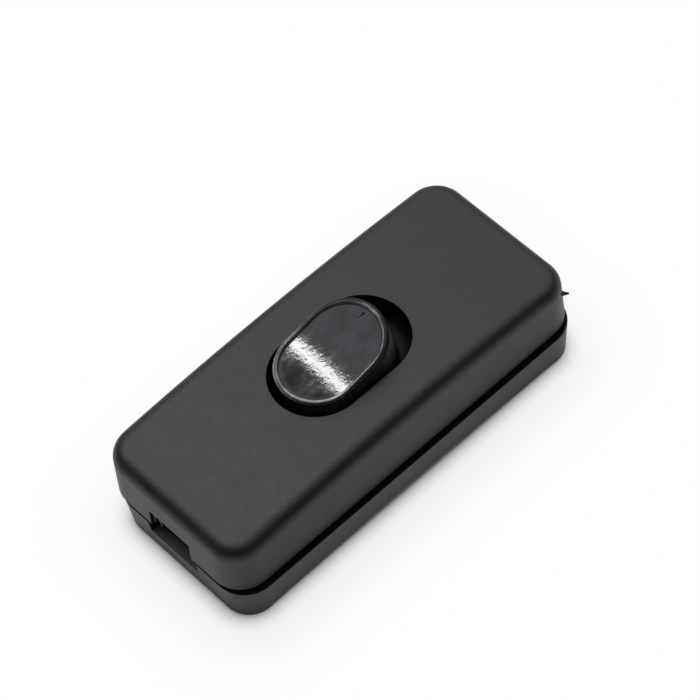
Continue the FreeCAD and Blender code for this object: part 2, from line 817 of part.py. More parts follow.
def build():
    parts = {
        "upper_shell": make_upper_shell(),
        "lower_shell": make_lower_shell(),
        "rocker": make_rocker(),
        "rocker_plunger": make_plunger(),
        "plunger_spring": make_spring(),
        "seesaw_contact": make_seesaw(),
        "moving_contact_tip": make_moving_tip(),
        "fixed_contact_strip": make_fixed_strip(),
        "fixed_contact_tip": make_fixed_tip(),
        "fulcrum_strip": make_fulcrum_strip(),
        "neutral_link": make_neutral_link(),
    }
    for end, end_name in ((-1, "in"), (1, "out")):
        x = end * terminal_x
        for y, line in ((-terminal_y, "live"), (terminal_y, "neutral")):
            parts["terminal_cage_%s_%s" % (line, end_name)] = make_cage(x, y)
            parts["terminal_screw_%s_%s" % (line, end_name)] = make_terminal_screw(x, y)
        parts["cord_grip_%s" % end_name] = make_grip(end * grip_x)
        for y, side_name in ((grip_post_y, "far"), (-grip_post_y, "near")):
            parts["grip_screw_%s_%s" % (end_name, side_name)] = make_grip_screw(end * grip_x, y)
        parts["housing_screw_%s" % end_name] = make_housing_screw(x)
    return parts


os.makedirs("parts", exist_ok=True)
for name, shape in build().items():
    shape.exportStep("parts/" + name + ".step")
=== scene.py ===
import json
import math

import bmesh
import bpy
from mathutils import Matrix, Quaternion, Vector


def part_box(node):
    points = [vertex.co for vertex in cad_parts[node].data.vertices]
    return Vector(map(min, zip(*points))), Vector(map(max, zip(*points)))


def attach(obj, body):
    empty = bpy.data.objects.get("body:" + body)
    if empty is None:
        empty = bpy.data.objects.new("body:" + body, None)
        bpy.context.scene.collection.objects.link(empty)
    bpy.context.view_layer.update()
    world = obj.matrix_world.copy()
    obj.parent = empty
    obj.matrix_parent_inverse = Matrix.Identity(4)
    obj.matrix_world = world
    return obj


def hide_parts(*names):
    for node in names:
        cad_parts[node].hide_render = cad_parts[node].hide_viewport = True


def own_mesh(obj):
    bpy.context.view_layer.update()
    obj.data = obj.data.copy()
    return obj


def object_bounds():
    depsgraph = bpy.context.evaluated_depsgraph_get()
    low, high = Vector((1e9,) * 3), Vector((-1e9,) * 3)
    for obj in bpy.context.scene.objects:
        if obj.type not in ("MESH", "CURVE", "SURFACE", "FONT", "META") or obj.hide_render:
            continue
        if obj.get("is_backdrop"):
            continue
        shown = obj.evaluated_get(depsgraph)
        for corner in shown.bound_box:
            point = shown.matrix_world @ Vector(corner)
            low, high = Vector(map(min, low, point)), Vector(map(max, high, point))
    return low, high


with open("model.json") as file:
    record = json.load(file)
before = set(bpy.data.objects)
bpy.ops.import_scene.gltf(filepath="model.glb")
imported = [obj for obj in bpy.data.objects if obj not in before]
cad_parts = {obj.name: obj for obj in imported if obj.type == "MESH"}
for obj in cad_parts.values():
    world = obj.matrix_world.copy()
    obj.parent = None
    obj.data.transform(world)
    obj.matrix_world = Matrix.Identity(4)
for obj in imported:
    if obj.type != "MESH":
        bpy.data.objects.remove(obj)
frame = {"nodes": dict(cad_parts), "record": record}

cad_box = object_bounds()
MM = 0.001

# Camera, at the photograph's viewing angle
CAMERA_AZIMUTH = -35.39
CAMERA_ELEVATION = 56.167
CAMERA_ROLL = -9.444
CAMERA_DISTANCE = 461.5 * MM
CAMERA_AIM = Vector((0, 0, 8 * MM))
CAMERA_LENS = 178.65
CAMERA_SENSOR = 36
CAMERA_NEAR = 10 * MM
PHOTO_WIDTH = 700
PHOTO_SHIFT = (7.42, 40.04)

# Light. The ceiling's edge is given as cosines of the angle from its middle.
CEILING_DIRECTION = Vector((0.31, 0.36, 0.88))
CEILING_EDGE = (0.55, 0.9)
CEILING_BRIGHT = 1.29
ROOM_DARK = 0.11
TUBE_CENTRE = Vector((63 * MM, 306 * MM, 600 * MM))
TUBE_SIZE = (33 * MM, 200 * MM)
TUBE_TURN = 18.0
TUBE_RADIANCE = 25.5

# Table. Its shadow clears with the distance from the shells' outline, quickly at first and then as a haze.
FLOOR_HALF = 3.0
FLOOR_WHITE = 0.97
FLOOR_MIRRORED = 0.62
SHADOW_MIDDLE = (-0.4 * MM, -0.7 * MM)
SHADOW_NEAR = (-0.8 * MM, 2.2 * MM)
SHADOW_FADE = 0.4
SHADOW_FAR = (0.0, 14 * MM)
SHADOW_HAZE = 0.18

# The switch, as far as its finishes and its new pieces follow its shape
HOUSING_WIDTH = 26.8 * MM
CORNER_RADIUS = 4.6 * MM
LOWER_LENGTH = 61.8 * MM
LOWER_SHIFT = (-0.1 * MM, -0.7 * MM)
SHELL_CORE = (LOWER_LENGTH - 2 * CORNER_RADIUS, HOUSING_WIDTH - 2 * CORNER_RADIUS)
SEAM_HEIGHT = 5.9 * MM
RECESS_WIDTH = 9.4 * MM
RECESS_FLOOR = 3.6 * MM
OPENING_LENGTH = 21.3 * MM
OPENING_WIDTH = 13.6 * MM
ROCKER_X = 0.4 * MM
PIVOT_HEIGHT = 10.6 * MM
ROCKER_TILT = -10.0
RIM_ABOVE_PIVOT = 7.6 * MM
DISH_LENGTH = 15.34 * MM
DISH_WIDTH = 10.96 * MM
RIM_LENGTH = 16.84 * MM
RIM_WIDTH = 12.16 * MM

# Screws, by the first words of their nodes
SCREWS = {
    "terminal_screw": {"shank": 1.4 * MM, "pitch": 0.70 * MM, "head": 1.6 * MM, "cross": False, "up": True},
    "grip_screw": {"shank": 0.95 * MM, "pitch": 0.85 * MM, "head": 1.2 * MM, "cross": True, "up": True},
    "housing_screw": {"shank": 1.1 * MM, "pitch": 0.95 * MM, "head": 1.4 * MM, "cross": True, "up": False},
}
# Side of a pan head from its seat up, in shares of its radius and its height
HEAD_SIDE = [(1.0, 0.0), (1.0, 0.52), (0.97, 0.68), (0.89, 0.83), (0.76, 0.94), (0.58, 1.0)]
HEAD_STEPS = 48
DRIVE_WIDTH = 0.5 * MM
DRIVE_DEPTH = 0.6 * MM
CROSS_REACH = 0.55
CROSS_TAPER = 0.8
SLOT_REACH = 1.1
EDGE_BREAK = 0.05 * MM
EDGE_ANGLE = 50
# A thread's crest lies between two shares of its pitch, and its last turns shrink to a tip
THREAD_CREST = (0.38, 0.55)
THREAD_DEPTH = 0.28
THREAD_STEPS = 28
THREAD_INTO_HEAD = 0.15 * MM
TIP_TURNS = 1.5
TIP_TAPER = 0.45

# Plunger spring
SPRING_BOTTOM = 11.01 * MM
SPRING_TOP = 15.0 * MM
SPRING_WIRE = 0.36 * MM
SPRING_RADIUS = 1.15 * MM
SPRING_TURNS = (0.75, 4.0, 0.75)
SPRING_CLOSED_PITCH = 1.06 * SPRING_WIRE
SPRING_STEPS = 32
WIRE_SIDES = 12

# Rags left by the moulding: start in millimetres, direction, radius at the root and the tip, and length
RAGS = {
    "moulding_tag": ((29.30, -11.70, 11.15), (1, -1, 0), 0.78 * MM, 0.13 * MM, 1.24 * MM),
    "notch_flash_long": ((-30.75, 2.95, 9.60), (0, 0.04, -1), 0.20 * MM, 0.10 * MM, 1.9 * MM),
    "notch_flash_short": ((-30.65, 2.05, 9.60), (0, -0.12, -1), 0.28 * MM, 0.14 * MM, 1.8 * MM),
}
RAG_SIDES = 10
RAG_WAIST = 0.4

# Points that lie closer than this are one
WELD = 0.001 * MM
THREAD_WELD = 0.002 * MM


class Value:
    """A shader socket that can stand in a Python expression. Each operation adds its own Math node."""

    def __init__(self, finish, socket):
        self.finish = finish
        self.socket = socket

    def combine(self, operation, first, second):
        return self.finish.node("ShaderNodeMath", {"operation": operation}, {0: first, 1: second})

    def __add__(self, other):
        return self.combine("ADD", self, other)

    def __radd__(self, other):
        return self.combine("ADD", other, self)

    def __sub__(self, other):
        return self.combine("SUBTRACT", self, other)

    def __rsub__(self, other):
        return self.combine("SUBTRACT", other, self)

    def __mul__(self, other):
        return self.combine("MULTIPLY", self, other)

    def __rmul__(self, other):
        return self.combine("MULTIPLY", other, self)

    def __truediv__(self, other):
        return self.combine("DIVIDE", self, other)

    def __pow__(self, other):
        return self.combine("POWER", self, other)

    def __abs__(self):
        return self.combine("ABSOLUTE", self, 0.0)

    def largest(self, other):
        return self.combine("MAXIMUM", self, other)

    def ramp(self, start, end):
        """0 at start, 1 at end, and smooth between them."""
        sockets = {"Value": self, "From Min": start, "From Max": end}
        return self.finish.node("ShaderNodeMapRange", {"interpolation_type": "SMOOTHSTEP"}, sockets)

    def between(self, low, high):
        """Goes from low to high as this value goes from 0 to 1."""
        return low + (high - low) * self


class Finish:
    """A node tree that is being filled."""

    def __init__(self, tree):
        self.tree = tree
        tree.nodes.clear()

    def node(self, kind, settings, sockets, output=0):
        """Adds a node. Its settings come first, then a value or a link for each of its sockets."""
        made = self.tree.nodes.new(kind)
        for name, value in settings.items():
            setattr(made, name, value)
        for name, value in sockets.items():
            if isinstance(value, Value):
                self.tree.links.new(value.socket, made.inputs[name])
            else:
                made.inputs[name].default_value = value
        if made.outputs:
            return Value(self, made.outputs[output])

    def noise(self, where, scale, detail, roughness):
        """Noise between 0 and 1, with scale in repeats to the metre."""
        sockets = {"Vector": where, "Scale": scale, "Detail": detail, "Roughness": roughness}
        return self.node("ShaderNodeTexNoise", {}, sockets)

    def place(self):
        return self.node("ShaderNodeTexCoord", {}, {}, output="Object")

    def stretched(self, where, scale):
        """The same place, with each direction counted at its own scale."""
        return self.node("ShaderNodeMapping", {}, {"Vector": where, "Scale": scale})

    def parts(self, vector):
        """The three numbers of a place or direction."""
        split = self.node("ShaderNodeSeparateXYZ", {}, {"Vector": vector})
        return [Value(self, out) for out in split.socket.node.outputs]

    def beyond(self, x, y, length, width):
        """Distance outside a rectangle that is centred and runs along X, and 0 inside it."""
        along = (abs(x) - length / 2).largest(0.0)
        across = (abs(y) - width / 2).largest(0.0)
        return (along * along + across * across) ** 0.5

    def obround(self, x, y, length, width):
        """Distance outside an obround outline that is centred and runs along X."""
        return self.beyond(x, y, length - width, 0.0) - width / 2

    def mixed(self, factor, first, second):
        """Sockets of a Mix Shader between two plain surfaces."""
        kind = "ShaderNodeBsdfPrincipled"
        return {0: factor, 1: self.node(kind, {}, first), 2: self.node(kind, {}, second)}

    def blend(self, factor, first, second):
        """Colour that goes from the first to the second as the factor goes from 0 to 1."""
        sockets = {"Factor": factor, "A": first, "B": second}
        return self.node("ShaderNodeMix", {"data_type": "RGBA"}, sockets, output="Result")

    def bump(self, height, depth):
        """Surface relief of a real depth in metres, for a height between 0 and 1."""
        return self.node("ShaderNodeBump", {}, {"Height": height, "Distance": depth, "Strength": 1.0})


def solid_finish(name):
    """Material with an empty tree, and the function that gives it its surface."""
    material = bpy.data.materials.new(name)
    material.use_nodes = True
    finish = Finish(material.node_tree)

    def surface(settings, kind="ShaderNodeBsdfPrincipled"):
        shader = finish.node(kind, {}, settings)
        finish.node("ShaderNodeOutputMaterial", {}, {"Surface": shader})
        return material

    return finish, surface


def grey(level, tint=(1.0, 1.0, 1.0)):
    return tuple(level * t for t in tint) + (1.0,)


PLASTIC_IOR = 1.5
# Painted shade: a rough near-black that gives back next to nothing, put where the light hardly reaches
PAINTED_SHADE_BLACK = {"Base Color": grey(0.004), "Roughness": 0.9, "Specular IOR Level": 0.08}

# Shell plastic. Of each two numbers, a mask starts at the first and is full at the second.
SHELL_GRAIN = {"scale": 3000, "detail": 2.0, "roughness": 0.6}
SHELL_CLOUD = {"scale": 420, "detail": 5.0, "roughness": 0.65}
SHELL_PATCHES = (0.3, 0.7)
SHELL_BLACK = grey(0.0055, (1.0, 0.98, 0.95))
SHELL_PATCH_BLACK = grey(0.0075)
SHELL_RELIEF = 0.035 * MM
SHELL_ROUGHNESS = 0.40
SHELL_PATCH_ROUGHNESS = 0.04
SHELL_GRAIN_ROUGHNESS = 0.06
# Painted light on the floor of the cord recess: a paler grey in place of the light it gets, with painted
# shade at its back edge and deeper in
RECESS_LIT_GREY = grey(0.14, (1.04, 0.97, 1.0))
RECESS_SIDES = (RECESS_WIDTH / 2, RECESS_WIDTH / 2 - 0.1 * MM)
RECESS_UPRIGHT = (0.12 * MM, 0.02 * MM)
RECESS_BACK = (1.9 * MM, 1.6 * MM)
RECESS_LIP = (0.15 * MM, 0.35 * MM)
RECESS_FRONT = (2.5 * MM, 0.5 * MM)
RECESS_BACK_SHARE = 0.75
# Painted shade on the parting faces, and in the well that the rocker stands in
SEAM_LOWER_FACE = (SEAM_HEIGHT - 0.12 * MM, SEAM_HEIGHT - 0.02 * MM)
SEAM_UPPER_FACE = (SEAM_HEIGHT + 0.60 * MM, SEAM_HEIGHT + 0.55 * MM)
SEAM_RIM = (CORNER_RADIUS - 0.08 * MM, CORNER_RADIUS - 0.22 * MM)
WELL_SIDE = (0.10 * MM, 0.02 * MM)
WELL_BOTTOM = (SEAM_HEIGHT, SEAM_HEIGHT + 1 * MM)


def textured_black():
    """Matt moulded plastic with a fine spark-eroded grain. Its recess floor has painted light, and its
    parting faces and its well have painted shade.
    """
    finish, surface = solid_finish("textured_black")
    place = finish.place()
    x, y, z = finish.parts(place)
    grain = finish.noise(place, **SHELL_GRAIN)
    patches = finish.noise(place, **SHELL_CLOUD).ramp(*SHELL_PATCHES)
    from_end = LOWER_LENGTH / 2 - abs(x - LOWER_SHIFT[0])
    # Painted light on the recess floor, fading to painted shade towards its back
    recess = abs(y).ramp(*RECESS_SIDES) * abs(z - RECESS_FLOOR).ramp(*RECESS_UPRIGHT)
    recess = recess * from_end.ramp(*RECESS_BACK) * from_end.ramp(*RECESS_LIP)
    recess = recess * from_end.ramp(*RECESS_FRONT).between(RECESS_BACK_SHARE, 1.0)

    colour = finish.blend(patches, SHELL_BLACK, SHELL_PATCH_BLACK)
    colour = finish.blend(recess, colour, RECESS_LIT_GREY)
    roughness = SHELL_ROUGHNESS + SHELL_PATCH_ROUGHNESS * patches + SHELL_GRAIN_ROUGHNESS * grain
    normal = finish.bump(grain, SHELL_RELIEF)
    outside = {"Base Color": colour, "Roughness": roughness, "Normal": normal, "IOR": PLASTIC_IOR}

    # Painted shade: the parting faces and the well take the painted-shade black
    from_core = finish.beyond(x - LOWER_SHIFT[0], y - LOWER_SHIFT[1], *SHELL_CORE)
    seam = z.ramp(*SEAM_LOWER_FACE) * z.ramp(*SEAM_UPPER_FACE) * from_core.ramp(*SEAM_RIM)
    from_opening = finish.obround(x - ROCKER_X, y, OPENING_LENGTH, OPENING_WIDTH)
    well = from_opening.ramp(*WELL_SIDE) * z.ramp(*WELL_BOTTOM)
    return surface(finish.mixed(seam.largest(well), outside, PAINTED_SHADE_BLACK), kind="ShaderNodeMixShader")


# Rocker plastic. Its masks are measured with the rocker level: X from the pivot, depth down from the rim.
RIPPLE = {"scale": 2300, "detail": 2.0, "roughness": 0.5}
RIPPLE_STRETCH = (0.7, 1.0, 1.0)
RIPPLE_DISH = (0.4 * MM, -0.2 * MM)
RIPPLE_RELIEF = 0.008 * MM
SMEAR = {"scale": 330, "detail": 5.0, "roughness": 0.6}
SMEAR_STRETCH = (1.0, 1.6, 1.0)
TOUCHED = (0.35, 0.68)
HAZE = (0.5, 0.8)
ROCKER_BLACK = grey(0.009, (1.0, 0.85, 1.7))
ROCKER_TOUCHED = grey(0.024, (0.98, 0.92, 1.45))
ROCKER_ROUGHNESS = 0.068
HAZE_ROUGHNESS = 0.12
LINE_AND_FLANK_ROUGHNESS = 0.3
LOW_END = (2 * MM, -6 * MM)
# Painted highlight: pale lines along the edges of the dish and the rim, in place of the lamp's reflection
# in those edges
HIGHLIGHT_GREY = grey(0.75, (0.97, 0.98, 1.0))
EDGE_LINE = 0.16 * MM
RING_SHIFT = (0.2, 1.0)
RING_WIDENING = (1.0, 1.8)
RING_EDGE = (1.1 * EDGE_LINE, 0.2 * EDGE_LINE)
RING_SIDE = (4 * MM, -2 * MM)
RING_FAR_SHARE = 0.2
RIM_LINE_EDGE = (EDGE_LINE, 0.0)
RIM_LINE_END = (7 * MM, 1 * MM)
RIM_LINE_SIDE = (-4 * MM, 5 * MM)
HIGHLIGHT_DEPTH = (0.6 * MM, 0.2 * MM)
HIGHLIGHT_UNTOUCHED = 0.35
# Painted sheen on the flank under the rim, paler at the shoulder of its high end
FLANK_SHEEN_GREY = grey(0.05)
SHOULDER_SHEEN_GREY = grey(0.14)
FLANK_START = (0.5 * MM, 0.7 * MM)
FLANK_DEPTH = (0.3 * MM, 0.8 * MM)
SHOULDER_END = (1 * MM, 7 * MM)
SHOULDER_DEPTH = (5 * MM, 1 * MM)
# Painted shade: the painted-shade black deep down the side, along the dish's edge, and in the dish past the
# light band
DEEP = (3 * MM, 6 * MM)
DEEP_END = (4 * MM, 8 * MM)
DEEP_ROUND_DISH = (2.6 * MM, 0.8 * MM)
DEEP_END_SHARE = 0.9
EDGE_SHADE_START = (0.5 * EDGE_LINE, 1.5 * EDGE_LINE)
EDGE_SHADE = (0.5, 0.0)
PAST_BAND = (-2 * MM, -6 * MM)
PAST_BAND_SHADE = 0.35
UNTOUCHED_SHADE = (0.14, 0.44)
DISH_SHADE_START = (0.0, -1 * MM)


def polished_black():
    """Glossy plastic, rippled by its mould and mottled, with painted highlight lines at its edges, painted
    sheen on its flank and painted shade deep down its side, along its dish's edge and in its dish past the
    light band.
    """
    finish, surface = solid_finish("polished_black")
    tilt = (0, math.radians(ROCKER_TILT), 0)
    pivot = {"Vector": finish.place(), "Location": (ROCKER_X, 0, PIVOT_HEIGHT), "Rotation": tilt}
    level = finish.node("ShaderNodeMapping", {"vector_type": "TEXTURE"}, pivot)
    x, y, height = finish.parts(level)
    depth = RIM_ABOVE_PIVOT - height
    from_dish = finish.obround(x, y, DISH_LENGTH, DISH_WIDTH)
    from_rim = finish.obround(x, y, RIM_LENGTH, RIM_WIDTH)
    low_end = x.ramp(*LOW_END)
    ripple = finish.noise(finish.stretched(level, RIPPLE_STRETCH), **RIPPLE)
    smear = finish.noise(finish.stretched(level, SMEAR_STRETCH), **SMEAR)
    touched = smear.ramp(*TOUCHED)

    # Painted highlight lines round the dish's edge and along the rim's edge
    from_ring = abs(from_dish - low_end.between(*RING_SHIFT) * EDGE_LINE)
    ring = (from_ring / low_end.between(*RING_WIDENING)).ramp(*RING_EDGE)
    ring = ring * y.ramp(*RING_SIDE).between(RING_FAR_SHARE, 1.0)
    rim = abs(from_rim + EDGE_LINE).ramp(*RIM_LINE_EDGE) * x.ramp(*RIM_LINE_END) * y.ramp(*RIM_LINE_SIDE)
    edge_highlight = (ring + rim) * depth.ramp(*HIGHLIGHT_DEPTH) * touched.between(HIGHLIGHT_UNTOUCHED, 1.0)
    flank = from_dish.ramp(*FLANK_START) * depth.ramp(*FLANK_DEPTH)
    shoulder = x.ramp(*SHOULDER_END) * depth.ramp(*SHOULDER_DEPTH)

    colour = finish.blend(touched, ROCKER_BLACK, ROCKER_TOUCHED)
    colour = finish.blend(edge_highlight, colour, HIGHLIGHT_GREY)
    # Painted sheen: the flank and its shoulder are paler than the rocker's own black
    colour = finish.blend(flank, colour, finish.blend(shoulder, FLANK_SHEEN_GREY, SHOULDER_SHEEN_GREY))
    roughness = ROCKER_ROUGHNESS + HAZE_ROUGHNESS * smear.ramp(*HAZE)
    roughness = roughness + LINE_AND_FLANK_ROUGHNESS * edge_highlight.largest(flank)
    normal = finish.bump((ripple - 0.5) * from_dish.ramp(*RIPPLE_DISH) + 0.5, RIPPLE_RELIEF)
    polished = {"Base Color": colour, "Roughness": roughness, "Normal": normal, "IOR": PLASTIC_IOR}

    # Painted shade deep down the side, along the dish's edge and in the dish past the light band, kept off
    # the painted highlight lines
    high_end = x.ramp(*DEEP_END) * from_dish.ramp(*DEEP_ROUND_DISH)
    deep = depth.ramp(*DEEP) * high_end.between(1.0, DEEP_END_SHARE)
    edge_shade = low_end.between(*EDGE_SHADE) * from_dish.ramp(*EDGE_SHADE_START) * (1 - flank)
    past_band = x.ramp(*PAST_BAND)
    dish_shade = PAST_BAND_SHADE * past_band + (1 - touched) * past_band.between(*UNTOUCHED_SHADE)
    dish_shade = dish_shade * from_dish.ramp(*DISH_SHADE_START)
    dull = deep.largest(edge_shade).largest(dish_shade) * (1 - edge_highlight)
    return surface(finish.mixed(dull, polished, PAINTED_SHADE_BLACK), kind="ShaderNodeMixShader")


# Inner plastic and metal
SATIN_GRAIN = {"scale": 2500, "detail": 3.0, "roughness": 0.5}
SATIN_CLOUD = {"scale": 200, "detail": 3.0, "roughness": 0.5}
SATIN_PATCHES = (0.3, 0.7)
SATIN_RELIEF = 0.006 * MM
SATIN_GRAIN_ROUGHNESS = 0.08
METAL_LINES = {"scale": 1.0, "detail": 3.0, "roughness": 0.7}
METAL_CLOUD = {"scale": 350, "detail": 4.0, "roughness": 0.6}
METAL_PATCHES = (0.35, 0.7)
METAL_RELIEF = 0.003 * MM
METAL_CLOUD_ROUGHNESS = 0.12
METAL_LINE_ROUGHNESS = 0.08
LINES_ALONG_Y = (9000, 600, 9000)
LINES_ALONG_Z = (7000, 7000, 1500)
# The two colours that a finish wanders between, its roughness, and the way that its lines run
PLASTICS = {
    "grip_black": (grey(0.03), grey(0.05), 0.25),
    "plunger_ivory": ((0.72, 0.66, 0.52, 1), (0.62, 0.55, 0.42, 1), 0.35),
}
METALS = {
    "spring_steel": (grey(0.55), grey(0.42), 0.28, LINES_ALONG_Z),
    "contact_brass": ((0.80, 0.58, 0.26, 1), (0.62, 0.42, 0.18, 1), 0.25, LINES_ALONG_Y),
    "contact_silver": (grey(0.80), (0.66, 0.62, 0.54, 1), 0.22, LINES_ALONG_Z),
    "cage_steel": ((0.62, 0.60, 0.55, 1), (0.50, 0.48, 0.44, 1), 0.30, LINES_ALONG_Y),
    "screw_steel": ((0.66, 0.67, 0.68, 1), (0.52, 0.53, 0.55, 1), 0.27, LINES_ALONG_Z),
}


def satin_plastic(name, pale, deep, roughness):
    """Plain moulded plastic of an inner piece."""
    finish, surface = solid_finish(name)
    place = finish.place()
    grain = finish.noise(place, **SATIN_GRAIN)
    patches = finish.noise(place, **SATIN_CLOUD).ramp(*SATIN_PATCHES)
    colour = finish.blend(patches, pale, deep)
    shine = roughness + SATIN_GRAIN_ROUGHNESS * grain
    normal = finish.bump(grain, SATIN_RELIEF)
    return surface({"Base Color": colour, "Roughness": shine, "Normal": normal})


def drawn_metal(name, bright, dull, roughness, stretch):
    """Metal with fine lines along one direction, duller in patches."""
    finish, surface = solid_finish(name)
    place = finish.place()
    lines = finish.noise(finish.stretched(place, stretch), **METAL_LINES)
    cloud = finish.noise(place, **METAL_CLOUD)
    colour = finish.blend(cloud.ramp(*METAL_PATCHES), bright, dull)
    shine = roughness + METAL_CLOUD_ROUGHNESS * cloud + METAL_LINE_ROUGHNESS * lines
    normal = finish.bump(lines, METAL_RELIEF)
    return surface({"Base Color": colour, "Metallic": 1.0, "Roughness": shine, "Normal": normal})


def make_finishes():
    """One material for each slot of the record."""
    finishes = {"shell_black": textured_black(), "rocker_black": polished_black()}
    for name, look in PLASTICS.items():
        finishes[name] = satin_plastic(name, *look)
    for name, look in METALS.items():
        finishes[name] = drawn_metal(name, *look)
    return finishes


def dress_nodes(finishes):
    for part in frame["record"]["subparts"]:
        node = frame["nodes"][part["node"]]
        node.data.materials.clear()
        node.data.materials.append(finishes[part["material_slot"]])


def new_piece(name, shape):
    """Object at the origin with the shape as its mesh."""
    mesh = bpy.data.meshes.new(name)
    bmesh.ops.recalc_face_normals(shape, faces=shape.faces)
    shape.to_mesh(mesh)
    shape.free()
    piece = bpy.data.objects.new(name, mesh)
    bpy.context.scene.collection.objects.link(piece)
    return piece


def row(shape, outline):
    """Edges in a row through points given as (radius, height)."""
    verts = [shape.verts.new((radius, 0, height)) for radius, height in outline]
    edges = [shape.edges.new(pair) for pair in zip(verts, verts[1:])]
    return verts + edges


def wind(shape, outline, turns, steps, pitch=0.0, closed=False):
    """Sweeps an outline round Z, with so many steps to the turn, and gives back where it ends."""
    spun = bmesh.ops.spin(shape, geom=outline, cent=(0, 0, 0), axis=(0, 0, 1), dvec=(0, 0, pitch / steps),
                          angle=2 * math.pi * turns, steps=round(turns * steps), use_merge=closed)
    return spun["geom_last"]


def close_ends(shape):
    bmesh.ops.holes_fill(shape, edges=[e for e in shape.edges if e.is_boundary], sides=0)


def thread(shape, radius, pitch, bottom, top):
    """Helical thread with flat crests, cut level at both ends and tapered at its tip."""
    root = radius * (1 - THREAD_DEPTH)
    start = bottom - pitch
    turns = math.ceil((top - start) / pitch) + 1
    crest = [(radius, start + share * pitch) for share in THREAD_CREST]
    outline = [(root, start), *crest, (root, start + pitch)]
    wind(shape, row(shape, outline), turns, THREAD_STEPS, pitch)
    bmesh.ops.remove_doubles(shape, verts=shape.verts, dist=THREAD_WELD)
    for height, side in ((top, 1), (bottom, -1)):
        everything = shape.verts[:] + shape.edges[:] + shape.faces[:]
        bmesh.ops.bisect_plane(shape, geom=everything, plane_co=(0, 0, height), plane_no=(0, 0, side),
                               clear_outer=True)
    close_ends(shape)
    for vert in shape.verts:
        near_tip = max(0.0, 1 - (vert.co.z - bottom) / (TIP_TURNS * pitch))
        vert.co.xy *= 1 - TIP_TAPER * near_tip


def drive_cutter(name, outline, bottom, narrow):
    """Block that a drive is cut with, narrower at its lower end."""
    shape = bmesh.new()
    low = shape.faces.new([shape.verts.new((narrow * x, narrow * y, bottom)) for x, y in outline])
    raised = bmesh.ops.extrude_face_region(shape, geom=[low])["geom"]
    high = [each for each in raised if isinstance(each, bmesh.types.BMVert)]
    bmesh.ops.scale(shape, vec=(1 / narrow, 1 / narrow, 1), verts=high)
    bmesh.ops.translate(shape, vec=(0, 0, 2 * DRIVE_DEPTH), verts=high)
    return new_piece(name, shape)


def settle(piece):
    """Makes the modifiers of a piece part of its mesh."""
    shown = piece.evaluated_get(bpy.context.evaluated_depsgraph_get())
    mesh = bpy.data.meshes.new_from_object(shown)
    piece.modifiers.clear()
    piece.data = mesh


def screw_head(name, radius, height, cross):
    """Pan head with a slot or a cross recess, its seat at height 0."""
    shape = bmesh.new()
    side = [(across * radius, up * height) for across, up in HEAD_SIDE]
    wind(shape, row(shape, [(0, 0), *side, (0, height)]), 1, HEAD_STEPS, closed=True)
    bmesh.ops.remove_doubles(shape, verts=shape.verts, dist=WELD)
    head = new_piece(name, shape)
    near = DRIVE_WIDTH / 2
    far = radius * (CROSS_REACH if cross else SLOT_REACH)
    arm = [(far, -near), (far, near), (near, near)] if cross else [(far, -near), (far, near)]
    turns = (0, 90, 180, 270) if cross else (0, 180)
    outline = [Matrix.Rotation(math.radians(turn), 2) @ Vector(point) for turn in turns for point in arm]
    cutter = drive_cutter(name + "_cutter", outline, height - DRIVE_DEPTH, CROSS_TAPER if cross else 1.0)
    cut = head.modifiers.new("drive", "BOOLEAN")
    cut.operation = "DIFFERENCE"
    cut.solver = "EXACT"
    cut.object = cutter
    settle(head)
    bpy.data.objects.remove(cutter)
    return head


def make_screw(node, kind, finish):
    """Threaded screw in the place of a plain one."""
    low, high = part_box(node)
    middle = (low + high) / 2
    length = high.z - low.z
    piece = screw_head(node + "_threaded", (high.x - low.x) / 2, kind["head"], kind["cross"])
    shape = bmesh.new()
    thread(shape, kind["shank"], kind["pitch"], kind["head"] - length, THREAD_INTO_HEAD)
    bmesh.ops.recalc_face_normals(shape, faces=shape.faces)
    shape.from_mesh(piece.data)
    if not kind["up"]:
        bmesh.ops.rotate(shape, cent=(0, 0, 0), matrix=Matrix.Rotation(math.pi, 3, "X"), verts=shape.verts)
    seat = high.z - kind["head"] if kind["up"] else low.z + kind["head"]
    bmesh.ops.translate(shape, vec=(middle.x, middle.y, seat), verts=shape.verts)
    shape.to_mesh(piece.data)
    shape.free()
    edges = piece.modifiers.new("edges", "BEVEL")
    edges.width = EDGE_BREAK
    edges.segments = 2
    edges.limit_method = "ANGLE"
    edges.angle_limit = math.radians(EDGE_ANGLE)
    piece.data.materials.append(finish)
    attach(piece, "housing")
    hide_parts(node)


def make_screws(finish):
    for node in list(frame["nodes"]):
        for first_words, kind in SCREWS.items():
            if node.startswith(first_words):
                make_screw(node, kind, finish)


